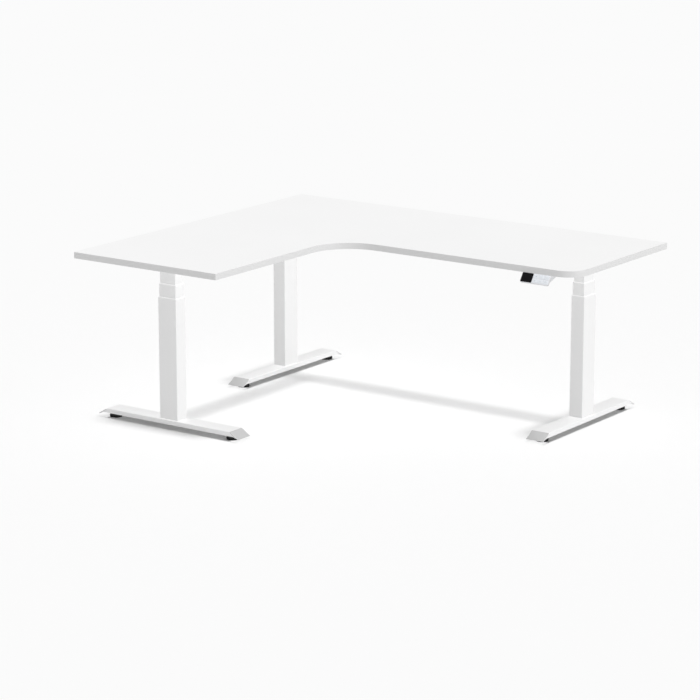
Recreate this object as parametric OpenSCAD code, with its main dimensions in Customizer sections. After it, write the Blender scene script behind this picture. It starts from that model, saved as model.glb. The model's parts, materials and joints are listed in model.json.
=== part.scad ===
// Height adjustable L-shaped standing desk with three lifting columns.
// +Z is up, +X runs along the main wing, +Y points to the back.
// The origin is on the floor, under the middle of the desk's outline.

/* [Desktop] */
// Length of the main wing, along X
main_len = 1800; // [1500:10:2200]
// Length of the return wing, along Y, counted from the back edge
return_len = 1500; // [1250:10:1900]
// Depth of the main wing, front to back
main_depth = 700; // [600:10:840]
// Width of the return wing
return_depth = 700; // [650:10:840]
// Thickness of the board
board_t = 25; // [22:0.5:40]
// Radius of the concave corner where the two wings meet
inner_corner_r = 175; // [60:5:250]
// Radius of the front corner at the free end of the main wing
free_corner_r = 85; // [20:5:150]
// Thickness of the edge band round the board
band_t = 2; // [0.5:0.1:3]

/* [Feet] */
// Length of a foot along the floor
foot_len = 706; // [580:2:840]
// Width of a foot
foot_w = 80; // [72:1:110]
// Height of a foot, without its glides
foot_h = 25; // [22:0.5:40]
// Length of the slope at each end of a foot
foot_slope = 43; // [15:1:80]
// Sheet thickness of a foot
foot_wall = 3; // [2:0.1:4]
// Height of a foot's side walls between its ends
foot_side_h = 18; // [15:0.5:21]
// Radius of the upper long edges of a foot
foot_edge_r = 3; // [2:0.1:6]
// How far the corner foot and the main foot reach past the back edge
foot_back_out = 72; // [20:1:120]
// How far the return foot reaches past the left edge
foot_side_out = 62; // [20:1:120]
// Distance from the return wing's front edge to its column's axis
return_leg_inset = 241; // [120:1:300]
// Distance from the left edge to the corner column's axis
corner_leg_inset = 120; // [90:1:160]
// Distance from the right edge to the main column's axis
main_leg_inset = 212; // [180:1:320]
// Diameter of a glide's pad
glide_d = 50; // [36:1:60]
// Height of a glide under the foot
glide_h = 14; // [12:0.5:24]
// Distance from a foot's tip to its glide's axis
glide_inset = 56; // [50:1:120]

/* [Columns] */
// Outer tube, short side
column_w = 60; // [58:1:80]
// Outer tube, long side
column_d = 90; // [80:1:120]
// Height of the outer tube with its collar
column_len = 494; // [410:1:620]
// Wall of every column tube
tube_wall = 1.8; // [1.5:0.1:2.2]
// How much smaller each tube is than the one around it, on each side
tube_step = 3; // [2.8:0.1:4]
// Radius of the column tubes' edges
tube_r = 3; // [2:0.5:5]
// Gap between a collar and the tube that slides in it
slide_gap = 0.3; // [0.2:0.05:0.5]
// Height of a collar's rim above its tube
rim_h = 6; // [1:0.5:8]
// Depth of a collar inside its tube
collar_h = 36; // [20:1:60]
// How far each stage stands above its lowest position
raised = 52; // [0:1:120]

/* [Frame] */
// Depth of the steel frame under the board
frame_h = 48; // [44:1:64]
// Width of a support arm
arm_w = 86; // [80:1:110]
// Length of a support arm
arm_len = 500; // [480:10:540]
// Sheet thickness of a support arm
arm_t = 2.5; // [2:0.1:4]
// Depth of a support arm at its tips
arm_tip = 14; // [12:1:24]
// Length of a motor housing
housing_len = 210; // [190:1:250]
// Distance from a column's axis to the front of its motor housing
housing_front = 60; // [50:1:75]
// Sheet thickness of a motor housing
housing_wall = 2; // [1.5:0.1:3]
// Width of a cross beam
beam_w = 50; // [40:1:64]
// Height of a cross beam
beam_h = 36; // [30:1:40]
// Wall of a cross beam
beam_wall = 2; // [1.5:0.1:3]
// Gap between a beam and the smaller beam inside it
beam_gap = 0.6; // [0.3:0.1:1]
// Length of the main cross beam's outer tube
main_beam_len = 800; // [500:10:900]
// Length of the return cross beam's outer tube
return_beam_len = 500; // [300:10:600]
// How far a smaller beam reaches into its outer tube
beam_overlap = 150; // [80:5:200]
// Thickness of a beam's end plate
plate_t = 3; // [2:0.5:5]
// Length of a beam's end plate
plate_len = 100; // [94:1:120]

/* [Lift drive] */
// Radius of the drive screw
screw_r = 5.5; // [5:0.1:6]
// Radius of the hollow screw
hollow_screw_r = 9; // [8.6:0.1:9.5]
// Wall of the hollow screw
hollow_screw_wall = 2.5; // [2:0.1:2.6]
// Wall of the nut tube
nut_tube_wall = 2; // [1.5:0.1:2.5]
// Gap between turning and sliding parts of the drive
drive_gap = 0.3; // [0.2:0.05:0.4]
// Diameter of the rods that carry the lower nut
rod_d = 6; // [5:0.5:6.5]
// Diameter of a motor
motor_d = 36; // [30:1:38]
// Length of a motor
motor_len = 88; // [70:1:95]

/* [Handset and control box] */
// Width of the handset
handset_w = 125; // [110:1:160]
// Height of the handset's face, along its slope
handset_face = 41; // [36:1:52]
// Angle of the handset's face from the horizontal
handset_tilt = 56; // [45:1:65]
// Distance from the right edge to the handset
handset_inset = 114; // [70:1:140]
// Distance from the front edge to the top of the handset's face
handset_back = 5; // [3:1:20]
// Width of the display window
display_w = 50; // [36:1:52]
// How far a key travels
key_travel = 0.8; // [0.4:0.1:1.2]
// Gap round a key
key_gap = 0.3; // [0.2:0.05:0.5]
// Length of the control box
box_len = 220; // [180:1:260]
// Width of the control box
box_w = 120; // [110:1:140]
// Height of the control box
box_h = 34; // [30:1:44]
// Distance from the control box to the main support arm
box_gap = 280; // [200:1:340]
// Diameter of the leads
lead_d = 5; // [4:0.1:5]

/* [Fasteners] */
// Diameter of the foot bolts and the glides' studs
big_bolt_d = 8; // [6:1:10]
// Diameter of the frame bolts
bolt_d = 6; // [5:1:6]
// Diameter of the board screws
screw_d = 4.4; // [4:0.1:5]
// Depth of the board screws in the board
screw_depth = 15; // [10:1:16]
// Radial gap between a fastener and its hole
hole_gap = 0.2; // [0.1:0.05:0.4]

/* [Hidden] */
$fn = 48;
eps = 0.01;

white_steel = "#f3f3f2";
board_white = "#f6f6f5";
band_white = "#eeeeed";
bright_steel = "#b8babd";
dark_plastic = "#26272a";
pale_plastic = "#eceef2";

// Where the three columns stand: name, axis x and y, turn about Z, side of the cross beam, lead's entry
return_leg_x = foot_len / 2 - foot_side_out;
back_leg_y = foot_back_out - foot_len / 2;
LEGS = [
    ["return", return_leg_x, return_leg_inset - return_len, 90, 1, 73],
    ["corner", corner_leg_inset, back_leg_y, 0, 1, 128],
    ["main", main_len - main_leg_inset, back_leg_y, 0, -1, 98]
];
return_leg = LEGS[0];
corner_leg = LEGS[1];
main_leg = LEGS[2];
leg_side = function(leg) leg[4];
lead_entry = function(leg) leg[5];

// Middle of the desk's outline, which the origin is under
mid_x = (main_len - foot_side_out) / 2;
mid_y = (foot_back_out - return_len) / 2;

// Heights, from the floor up
foot_top = glide_h + foot_h;
outer_top = foot_top + column_len;
middle_lift = 2;
inner_lift = 5;
middle_top = outer_top + middle_lift + raised;
housing_z = middle_top + inner_lift + raised;
board_z = housing_z + frame_h;
arm_z = board_z - arm_t;

// Column tubes: short side and long side of each stage
middle_w = column_w - 2 * tube_step;
middle_d = column_d - 2 * tube_step;
inner_w = middle_w - 2 * tube_step;
inner_d = middle_d - 2 * tube_step;
base_plate_t = 6;
base_top = foot_top + base_plate_t;
shoe_rim = 2;
shoe_plug = 5;
shoe_z = base_top + 2 + raised;
shoe_top = shoe_z + shoe_rim + shoe_plug;
inner_z = shoe_top + 4 + raised;

// Lift drive, from its axis outwards
nut_tube_r = inner_w / 2 - tube_wall - 1.2;
nut_tube_bore = nut_tube_r - nut_tube_wall;
lower_nut_r = nut_tube_bore - 0.5;
rod_x = (hollow_screw_r + nut_tube_bore) / 2;
lower_nut_h = 20;
lower_nut_z = outer_top - 148;
upper_nut_h = 25;
nut_tube_top = middle_top - 27;
hollow_screw_top = nut_tube_top - upper_nut_h - 5;
drive_screw_z = shoe_top + 134;
shank_r = screw_r + 0.5;

// Frame
housing_y = -housing_front;
housing_half_w = arm_w / 2 - arm_t;
housing_top = arm_z;
beam_z = housing_z + 1;
beam_mid_z = beam_z + beam_h / 2;
arm_side_h = frame_h - 4;
plate_bolt_y = plate_len / 2 - 12;
plate_bolt_z = beam_h / 2 - 8;
bolt_head_h = 4;
main_beam_start = corner_leg_inset + arm_w / 2;
main_beam_end = main_len - main_leg_inset - arm_w / 2;
return_beam_start = back_leg_y - beam_w / 2;
return_beam_end = return_leg[2] + arm_w / 2;

// Board screws
screw_head_h = 3;
screw_head_r = 4.5;
ear_t = 3;
arm_screw_x = 28;
arm_screw_rows = [-arm_len / 2 + 25, -housing_front - 60, arm_len / 2 - 25];

// Control box and its leads, all in one plane just under the board
lead_z = arm_z - 4;
box_right = main_beam_end - box_gap;
box_left = box_right - box_len;
box_back_y = -80;
box_front_y = box_back_y - box_w;
box_mid_x = (box_left + box_right) / 2;
box_mid_y = (box_back_y + box_front_y) / 2;
box_ear_x = box_len / 2 - 20;
box_ear_y = box_w / 2 + 8;
inlet_y = box_back_y - 32;
inlet_w = 30;
inlet_h = 24;
inlet_deep = 18;
lead_bend = 14;
groove_pitch = 16;
groove_w = 4;
groove_len = 70;
groove_deep = 2;
lead_entry_gap = 0.7;

// Handset, whose face leans back under the front edge
handset_x = main_len - handset_inset - handset_w / 2;
handset_top_y = -main_depth + handset_back;
face_deep = 9;
face_corner_r = 5;
window_margin = 1;
window_corner_r = 4;
window_deep = 1.6;
display_x = -handset_w / 2 + window_margin + display_w / 2;
key_columns = 3;
key_rows = 2;
keypad_margin = 3;
key_web = 1.4;
keypad_x0 = -handset_w / 2 + 2 * window_margin + display_w + key_web;
keypad_w = handset_w / 2 - keypad_margin - keypad_x0;
keypad_h = handset_face - 2 * keypad_margin;
key_w = (keypad_w - key_web * (key_columns - 1)) / key_columns;
key_h = (keypad_h - key_web * (key_rows - 1)) / key_rows;
key_t = 3;
key_proud = 0.5;
key_corner_r = 2;
handset_rear_y = handset_top_y + 47;
handset_screw_x = handset_w / 2 - 18;
handset_screw_y = handset_rear_y - 14;

KEYS = [
    ["up_key", 0, 1], ["down_key", 0, 0], ["preset_one_key", 1, 1],
    ["preset_two_key", 1, 0], ["preset_three_key", 2, 1], ["memory_key", 2, 0]
];

LEG_PARTS = [
    "foot", "front_glide", "rear_glide", "outer_tube", "middle_tube", "middle_collar", "nut_tube",
    "hollow_screw", "drive_screw", "inner_tube", "motor_housing", "support_arm"
];

// ---------------------------------------------------------------- frames

// Desk coordinates: x = 0 at the left edge, y = 0 at the back edge, z = 0 on the floor
module in_desk() {
    translate([-mid_x, -mid_y, 0]) children();
}

// Leg coordinates: the column's axis is Z and the foot runs along Y
module at_leg(leg) {
    in_desk() translate([leg[1], leg[2], 0]) rotate(leg[3]) children();
}

// Face coordinates of the handset: X to the right, Y up the face, Z out of it
module at_handset_face() {
    in_desk()
        translate([handset_x, handset_top_y, board_z])
            rotate([handset_tilt, 0, 0])
                translate([0, -handset_face / 2, 0]) children();
}

// ---------------------------------------------------------------- shapes

module rounded_rect(w, d, r) {
    square([w - 2 * r, d], center = true);
    square([w, d - 2 * r], center = true);
    for (x = [-1, 1], y = [-1, 1]) translate([x * (w / 2 - r), y * (d / 2 - r)]) circle(r);
}

module rounded_slab(w, d, h, r) {
    linear_extrude(h) rounded_rect(w, d, r);
}

module square_tube(w, d, h, wall, r) {
    difference() {
        rounded_slab(w, d, h, r);
        translate([0, 0, -1]) rounded_slab(w - 2 * wall, d - 2 * wall, h + 2, max(r - wall, 0.5));
    }
}

// A bolt that points up, with its head's top face at z = 0
module hex_bolt(d, len) {
    translate([0, 0, -bolt_head_h]) cylinder(h = bolt_head_h, r = d * 0.95, $fn = 6);
    translate([0, 0, -eps]) cylinder(h = len + eps, d = d);
}

// The closed profile that a pair of walls leaves between them, swept along X
module along_x(len, points) {
    translate([-len / 2, 0, 0]) rotate([90, 0, 90]) linear_extrude(len) polygon(points);
}

// ---------------------------------------------------------------- desktop

// Outline of the desktop, moved in by a distance all round
module desktop_outline(inset) {
    inner_r = inner_corner_r + inset;
    free_r = free_corner_r - inset;
    left = inset;
    back = -inset;
    right = main_len - inset;
    main_front = -main_depth + inset;
    return_right = return_depth - inset;
    return_front = -return_len + inset;
    difference() {
        union() {
            translate([left, main_front]) square([right - left, back - main_front]);
            translate([left, return_front]) square([return_right - left, back - return_front]);
            translate([return_right - 1, main_front - inner_r]) square([inner_r + 1, inner_r + 1]);
        }
        translate([return_right + inner_r, main_front - inner_r]) circle(inner_r, $fn = 120);
        difference() {
            translate([right - free_r, main_front - 1]) square([free_r + 1, free_r + 1]);
            translate([right - free_r, main_front + free_r]) circle(free_r, $fn = 120);
        }
    }
}

// Every screw into the board: x, y, and the thickness that it clamps
function leg_to_desk(leg, x, y) = [
    leg[1] + x * cos(leg[3]) - y * sin(leg[3]),
    leg[2] + x * sin(leg[3]) + y * cos(leg[3])
];
SCREWS = concat(
    [for (leg = LEGS, x = [-1, 1], y = arm_screw_rows) concat(leg_to_desk(leg, x * arm_screw_x, y), arm_t)],
    [for (x = [-1, 1], y = [-1, 1]) [box_mid_x + x * box_ear_x, box_mid_y + y * box_ear_y, ear_t]],
    [for (x = [-1, 1]) [handset_x + x * handset_screw_x, handset_screw_y, ear_t]]
);

module desktop_board() {
    color(board_white) in_desk() difference() {
        translate([0, 0, board_z]) linear_extrude(board_t) desktop_outline(band_t);
        for (s = SCREWS) translate([s[0], s[1], board_z - 1]) cylinder(h = screw_depth + 2, r = screw_d / 2 + hole_gap);
    }
}

module edge_band() {
    color(band_white) in_desk() translate([0, 0, board_z]) linear_extrude(board_t) difference() {
        desktop_outline(0);
        desktop_outline(band_t);
    }
}

module board_screws() {
    color(bright_steel) in_desk() for (s = SCREWS) translate([s[0], s[1], board_z - s[2]]) {
        translate([0, 0, -screw_head_h]) cylinder(h = screw_head_h, r1 = screw_head_r - 1, r2 = screw_head_r);
        translate([0, 0, -eps]) cylinder(h = screw_depth + s[2] + eps, d = screw_d);
    }
}

// ---------------------------------------------------------------- feet

foot_slope_t = foot_wall / sin(atan2(foot_h, foot_slope));
foot_half = function(z) foot_len / 2 - foot_slope * z / foot_h;
foot_ramp = 25;
foot_bolt_inset = 13;
glide_y = foot_len / 2 - glide_inset;
boss_r = 12;
stud_top = foot_top - 5;

module foot_bolt_places() {
    for (x = [-1, 1], y = [-1, 1]) translate([x * (column_w / 2 - foot_bolt_inset), y * (column_d / 2 - foot_bolt_inset), 0]) children();
}

// Pressed steel foot, open underneath, with a threaded boss over each glide
module foot(leg) {
    ceiling = foot_h - foot_wall;
    side_z = foot_h - foot_side_h;
    tip = foot_len / 2 - foot_wall;
    ramp_end = foot_len / 2 - foot_ramp;
    color(white_steel) at_leg(leg) translate([0, 0, glide_h]) difference() {
        union() {
            difference() {
                intersection() {
                    along_x(foot_w, [
                        [-foot_half(0), 0], [foot_half(0), 0], [foot_half(foot_h), foot_h], [-foot_half(foot_h), foot_h]
                    ]);
                    translate([0, foot_len / 2, 0]) rotate([90, 0, 0]) linear_extrude(foot_len) {
                        translate([-foot_w / 2, 0]) square([foot_w, foot_h - foot_edge_r]);
                        translate([-foot_w / 2 + foot_edge_r, 0]) square([foot_w - 2 * foot_edge_r, foot_h]);
                        for (x = [-1, 1]) translate([x * (foot_w / 2 - foot_edge_r), foot_h - foot_edge_r]) circle(foot_edge_r);
                    }
                }
                along_x(foot_w - 2 * foot_wall, [
                    [-foot_half(0) + foot_slope_t, 0], [-foot_half(0) + foot_slope_t, -1],
                    [foot_half(0) - foot_slope_t, -1], [foot_half(0) - foot_slope_t, 0],
                    [foot_half(ceiling) - foot_slope_t, ceiling], [-foot_half(ceiling) + foot_slope_t, ceiling]
                ]);
                for (x = [-1, 1]) translate([x * (foot_w - foot_wall + 1) / 2, 0, 0]) along_x(foot_wall + 1, [
                    [-tip, -1], [-tip, 0], [-ramp_end, side_z], [ramp_end, side_z], [tip, 0], [tip, -1]
                ]);
            }
            for (y = [-1, 1]) translate([0, y * glide_y, 0]) cylinder(h = ceiling + 1, r = boss_r);
        }
        for (y = [-1, 1]) translate([0, y * glide_y, -1]) cylinder(h = ceiling, r = big_bolt_d / 2 + drive_gap);
        foot_bolt_places() translate([0, 0, ceiling - 1]) cylinder(h = foot_wall + 2, r = big_bolt_d / 2 + hole_gap);
    }
}

// Levelling glide: a round pad on a threaded stud
module glide(leg, end) {
    pad_r = glide_d / 2;
    neck_r = boss_r - 1;
    pad_h = glide_h - 4;
    bevel = 1;
    stud_r = big_bolt_d / 2;
    color(dark_plastic) at_leg(leg) translate([0, end * glide_y, 0]) rotate_extrude() polygon([
        [0, 0], [pad_r - bevel, 0], [pad_r, bevel], [pad_r, pad_h - bevel], [pad_r - bevel, pad_h],
        [neck_r, pad_h], [neck_r, glide_h], [stud_r, glide_h], [stud_r, stud_top], [0, stud_top]
    ]);
}

module foot_bolts() {
    color(bright_steel) for (leg = LEGS) at_leg(leg) foot_bolt_places()
        translate([0, 0, foot_top - foot_wall]) hex_bolt(big_bolt_d, foot_wall + base_plate_t - 1);
}

// ---------------------------------------------------------------- columns

// Outer tube with the base plate that is welded inside its lower end
module outer_tube(leg) {
    color(white_steel) at_leg(leg) translate([0, 0, foot_top]) difference() {
        union() {
            square_tube(column_w, column_d, column_len - rim_h, tube_wall, tube_r);
            rounded_slab(column_w - tube_wall, column_d - tube_wall, base_plate_t, tube_r - tube_wall / 2);
        }
        foot_bolt_places() translate([0, 0, -1]) cylinder(h = base_plate_t + 2, r = big_bolt_d / 2 + hole_gap);
    }
}

// Guide collar with its top at z = 0: a rim on the tube's end and a sleeve inside the tube
module collar(w, d) {
    opening_w = w - 2 * tube_step + 2 * slide_gap;
    opening_d = d - 2 * tube_step + 2 * slide_gap;
    difference() {
        union() {
            translate([0, 0, -rim_h]) rounded_slab(w, d, rim_h, tube_r);
            translate([0, 0, -collar_h])
                rounded_slab(w - 2 * tube_wall, d - 2 * tube_wall, collar_h, max(tube_r - tube_wall, 0.5));
        }
        translate([0, 0, -collar_h - 1]) rounded_slab(opening_w, opening_d, collar_h + 2, tube_r + slide_gap);
    }
}

module outer_collars() {
    color(pale_plastic) for (leg = LEGS) at_leg(leg) translate([0, 0, outer_top]) collar(column_w, column_d);
}

module middle_tube(leg) {
    tube_z = shoe_z + shoe_rim;
    color(white_steel) at_leg(leg) translate([0, 0, tube_z])
        square_tube(middle_w, middle_d, middle_top - rim_h - tube_z, tube_wall, tube_r);
}

module middle_collar(leg) {
    color(pale_plastic) at_leg(leg) translate([0, 0, middle_top]) collar(middle_w, middle_d);
}

module inner_tube(leg) {
    color(white_steel) at_leg(leg) translate([0, 0, inner_z])
        square_tube(inner_w, inner_d, housing_z - inner_z, tube_wall, tube_r);
}

// ---------------------------------------------------------------- lift drive

// Shoe that closes the middle tube's lower end, and the tube that carries the upper nut
module nut_tube(leg) {
    shoe_w = column_w - 2 * tube_wall - 2 * slide_gap;
    shoe_d = column_d - 2 * tube_wall - 2 * slide_gap;
    plug_w = middle_w - 2 * tube_wall;
    plug_d = middle_d - 2 * tube_wall;
    color(bright_steel) at_leg(leg) difference() {
        union() {
            translate([0, 0, shoe_z]) rounded_slab(shoe_w, shoe_d, shoe_rim, tube_r);
            translate([0, 0, shoe_z]) rounded_slab(plug_w, plug_d, shoe_rim + shoe_plug, max(tube_r - tube_wall, 0.5));
            translate([0, 0, shoe_z]) cylinder(h = nut_tube_top - shoe_z, r = nut_tube_r);
        }
        translate([0, 0, shoe_top]) cylinder(h = nut_tube_top - upper_nut_h - shoe_top, r = nut_tube_bore);
        translate([0, 0, shoe_z - 1]) cylinder(h = nut_tube_top - shoe_z + 2, r = screw_r + drive_gap);
        for (y = [-1, 1]) translate([0, y * rod_x, shoe_z - 1]) cylinder(h = shoe_top - shoe_z + 2, r = rod_d / 2 + drive_gap);
    }
}

// Hollow screw, which turns on the shoe and carries the middle stage up the lower nut
module hollow_screw(leg) {
    bore = hollow_screw_r - hollow_screw_wall;
    foot_end = shoe_top + drive_gap;
    color(bright_steel) at_leg(leg) difference() {
        union() {
            translate([0, 0, foot_end]) cylinder(h = hollow_screw_top - foot_end, r = hollow_screw_r);
            translate([0, 0, shoe_z + 1]) cylinder(h = foot_end - shoe_z, r = screw_r - drive_gap / 2);
        }
        translate([0, 0, foot_end + 4]) cylinder(h = hollow_screw_top, r = bore);
    }
}

// Drive screw, which hangs from the gearbox and turns the hollow screw through its plug
module drive_screw(leg) {
    plug_r = hollow_screw_r - hollow_screw_wall - drive_gap;
    plug_h = 8;
    thrust_z = housing_z + housing_wall + 1;
    thrust_r = screw_r + 3.5;
    thrust_h = 4;
    shank_len = 27;
    color(bright_steel) at_leg(leg) {
        translate([0, 0, drive_screw_z]) cylinder(h = thrust_z + 1 - drive_screw_z, r = screw_r - eps);
        translate([0, 0, drive_screw_z]) cylinder(h = plug_h, r = plug_r);
        translate([0, 0, thrust_z]) cylinder(h = thrust_h, r = thrust_r);
        translate([0, 0, thrust_z + thrust_h - 1]) cylinder(h = shank_len + 1, r = shank_r);
    }
}

// Lower nut on the two rods that stand on the base plate
module lower_nuts() {
    color(bright_steel) for (leg = LEGS) at_leg(leg) difference() {
        union() {
            translate([0, 0, lower_nut_z]) cylinder(h = lower_nut_h, r = lower_nut_r);
            for (y = [-1, 1]) translate([0, y * rod_x, base_top]) cylinder(h = lower_nut_z - base_top + lower_nut_h / 4, d = rod_d);
        }
        translate([0, 0, lower_nut_z - 1]) cylinder(h = lower_nut_h + 2, r = hollow_screw_r + drive_gap);
    }
}

// Motor lying in the housing, with the gearbox that turns the drive screw
module motors() {
    gear_z = housing_z + housing_wall + 7;
    gear_h = housing_top - 3 - gear_z;
    gear_half_w = housing_half_w - housing_wall - 6;
    gear_half_d = housing_front - 12;
    color(bright_steel) for (leg = LEGS) at_leg(leg) difference() {
        union() {
            translate([-gear_half_w, -gear_half_d, gear_z]) cube([2 * gear_half_w, 2 * gear_half_d, gear_h]);
            translate([0, gear_half_d - 1, gear_z + gear_h / 2]) rotate([-90, 0, 0]) cylinder(h = motor_len + 1, d = motor_d);
        }
        translate([0, 0, gear_z - 1]) cylinder(h = 30, r = shank_r + drive_gap);
    }
}

// ---------------------------------------------------------------- frame

// Places of an end plate's bolts, at x = 0 with the beam running to +X
module plate_bolt_places() {
    for (y = [-1, 1], z = [-1, 1]) translate([0, y * plate_bolt_y, beam_mid_z + z * plate_bolt_z]) children();
}

// The same bolts as holes through a leg's side
module side_bolt_holes(leg) {
    plate_bolt_places() rotate([0, leg_side(leg) * 90, 0]) cylinder(h = arm_w, r = bolt_d / 2 + hole_gap);
}

// Open-topped box that closes against the support arm
module motor_housing(leg) {
    color(white_steel) at_leg(leg) difference() {
        translate([-housing_half_w, housing_y, housing_z])
            cube([2 * housing_half_w, housing_len, housing_top - housing_z]);
        translate([-housing_half_w + housing_wall, housing_y + housing_wall, housing_z + housing_wall])
            cube([2 * (housing_half_w - housing_wall), housing_len - 2 * housing_wall, housing_top - housing_z]);
        translate([0, 0, housing_z - 1]) cylinder(h = housing_wall + 2, r = screw_r + 1.5);
        side_bolt_holes(leg);
    }
}

// Steel channel under the board, over the motor housing
module support_arm(leg) {
    flat_front = housing_y - 30;
    flat_back = housing_y + housing_len + 20;
    half = arm_len / 2;
    color(white_steel) at_leg(leg) difference() {
        translate([0, 0, board_z]) along_x(arm_w, [
            [-half, 0], [-half, -arm_tip], [flat_front, -arm_side_h], [flat_back, -arm_side_h], [half, -arm_tip], [half, 0]
        ]);
        translate([-arm_w / 2 + arm_t, -half - 1, arm_z - frame_h]) cube([arm_w - 2 * arm_t, arm_len + 2, frame_h]);
        for (x = [-1, 1], y = arm_screw_rows) translate([x * arm_screw_x, y, arm_z - 1])
            cylinder(h = arm_t + 2, r = screw_d / 2 + hole_gap);
        side_bolt_holes(leg);
        translate([0, lead_entry(leg), lead_z]) rotate([0, leg_side(leg) * 90, 0])
            cylinder(h = arm_w, r = lead_d / 2 + lead_entry_gap);
    }
}

// A beam that runs to +X from x = 0, with its end plate at x = 0 and clear holes for the plate's bolts
module beam(len, w, h, z) {
    difference() {
        union() {
            translate([0, 0, z]) rotate([90, 0, 90]) square_tube(w, h, len, beam_wall, 2);
            difference() {
                translate([0, -plate_len / 2, beam_z]) cube([plate_t, plate_len, beam_h]);
                translate([plate_t / 2, -w / 2 + beam_wall, z - h / 2 + beam_wall])
                    cube([plate_t, w - 2 * beam_wall, h - 2 * beam_wall]);
            }
        }
        plate_bolt_places() translate([-1, 0, 0]) rotate([0, 90, 0]) cylinder(h = plate_t + 2, r = bolt_d / 2 + hole_gap);
    }
}

small_beam_w = beam_w - 2 * beam_wall - 2 * beam_gap;
small_beam_h = beam_h - 2 * beam_wall - 2 * beam_gap;

module at_main_beam() {
    in_desk() translate([main_beam_start, back_leg_y, 0]) children();
}

module at_return_beam() {
    in_desk() translate([return_leg_x, return_beam_start, 0]) rotate(-90) children();
}

module main_beam_tube() {
    color(white_steel) difference() {
        at_main_beam() beam(main_beam_len, beam_w, beam_h, beam_mid_z);
        at_return_beam() plate_bolt_places() translate([-4, 0, 0]) rotate([0, 90, 0])
            cylinder(h = 6, r = bolt_d / 2 + hole_gap);
    }
}

module main_beam_slider() {
    len = main_beam_end - main_beam_start - main_beam_len + beam_overlap;
    color(white_steel) in_desk() translate([main_beam_end, back_leg_y, 0]) rotate(180)
        beam(len, small_beam_w, small_beam_h, beam_mid_z);
}

module return_beam_tube() {
    color(white_steel) at_return_beam() beam(return_beam_len, beam_w, beam_h, beam_mid_z);
}

module return_beam_slider() {
    len = return_beam_start - return_beam_end - return_beam_len + beam_overlap;
    color(white_steel) in_desk() translate([return_leg_x, return_beam_end, 0]) rotate(90)
        beam(len, small_beam_w, small_beam_h, beam_mid_z);
}

// Bolts through an end plate at x = 0, from the beam's side
module plate_bolts(len) {
    plate_bolt_places() translate([plate_t, 0, 0]) rotate([0, -90, 0]) hex_bolt(bolt_d, plate_t + len);
}

module frame_bolts() {
    grip = arm_t + housing_wall + 2;
    color(bright_steel) {
        at_main_beam() plate_bolts(grip);
        in_desk() translate([main_beam_end, back_leg_y, 0]) rotate(180) plate_bolts(grip);
        in_desk() translate([return_leg_x, return_beam_end, 0]) rotate(90) plate_bolts(grip);
        at_return_beam() plate_bolts(beam_wall + 1.5);
    }
}

// ---------------------------------------------------------------- control box and leads

module control_box() {
    color(dark_plastic) in_desk() difference() {
        union() {
            translate([box_mid_x, box_mid_y, board_z - box_h]) rounded_slab(box_len, box_w, box_h, 6);
            for (x = [-1, 1]) translate([box_mid_x + x * box_ear_x, box_mid_y, board_z - ear_t])
                rounded_slab(20, 2 * box_ear_y + 16, ear_t, 4);
        }
        for (s = SCREWS) translate([s[0], s[1], board_z - ear_t - 1]) cylinder(h = ear_t + 2, r = screw_d / 2 + hole_gap);
        // cooling grooves in the underside
        for (i = [-4:4]) translate([box_mid_x + i * groove_pitch, box_mid_y, board_z - box_h])
            cube([groove_w, groove_len, 2 * groove_deep], center = true);
    }
}

// Mains inlet on the right end of the control box, with its three contacts
module mains_inlet() {
    socket_w = inlet_w - 6;
    socket_h = inlet_h - 7;
    contact_len = inlet_deep - 8;
    color(dark_plastic) in_desk() translate([box_right, inlet_y, board_z - box_h / 2]) {
        difference() {
            translate([0, -inlet_w / 2, -inlet_h / 2]) cube([inlet_deep, inlet_w, inlet_h]);
            translate([2, -socket_w / 2, -socket_h / 2]) cube([inlet_deep, socket_w, socket_h]);
        }
        for (p = [[-7, -1.5], [0, 3], [7, -1.5]])
            translate([1, p[0] - 1, p[1] - 2]) cube([contact_len, 2, 4]);
    }
}

function unit(v) = v / norm(v);

// A right-angled corner of a route, as an arc
function corner_arc(a, b, c, r, steps = 6) =
    let (u = unit(a - b), v = unit(c - b), m = b + r * (u + v))
    [for (i = [0:steps]) m - r * (v * cos(90 * i / steps) + u * sin(90 * i / steps))];

// A route through corners, each rounded to the leads' bend
function route(p) = concat(
    [p[0]],
    [for (i = [1:1:len(p) - 2]) each corner_arc(p[i - 1], p[i], p[i + 1], lead_bend)],
    [p[len(p) - 1]]
);

// Lead along a level route
module lead(path, sides = 10) {
    last = len(path) - 1;
    rings = [for (i = [0:last])
        let (d = unit(path[min(i + 1, last)] - path[max(i - 1, 0)]), side = [-d[1], d[0]])
        for (j = [0:sides - 1])
            let (a = 360 * j / sides, out = side * cos(a) * lead_d / 2)
            [path[i][0] + out[0], path[i][1] + out[1], lead_z + sin(a) * lead_d / 2]
    ];
    walls = [for (i = [0:last - 1], j = [0:sides - 1])
        let (k = (j + 1) % sides)
        [i * sides + j, (i + 1) * sides + j, (i + 1) * sides + k, i * sides + k]
    ];
    polyhedron(rings, concat(
        [[for (j = [0:sides - 1]) j]],
        [[for (j = [sides - 1:-1:0]) last * sides + j]],
        walls
    ));
}

corner_lead_y = back_leg_y + lead_entry(corner_leg);
main_lead_y = back_leg_y + lead_entry(main_leg);
return_lead_y = box_front_y + 20;
return_lead_x = return_leg_x - lead_entry(return_leg);
handset_lead_y = box_front_y + 8;
handset_lead_x = box_right + box_gap / 2;
handset_turn_y = handset_rear_y + 50;

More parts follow.
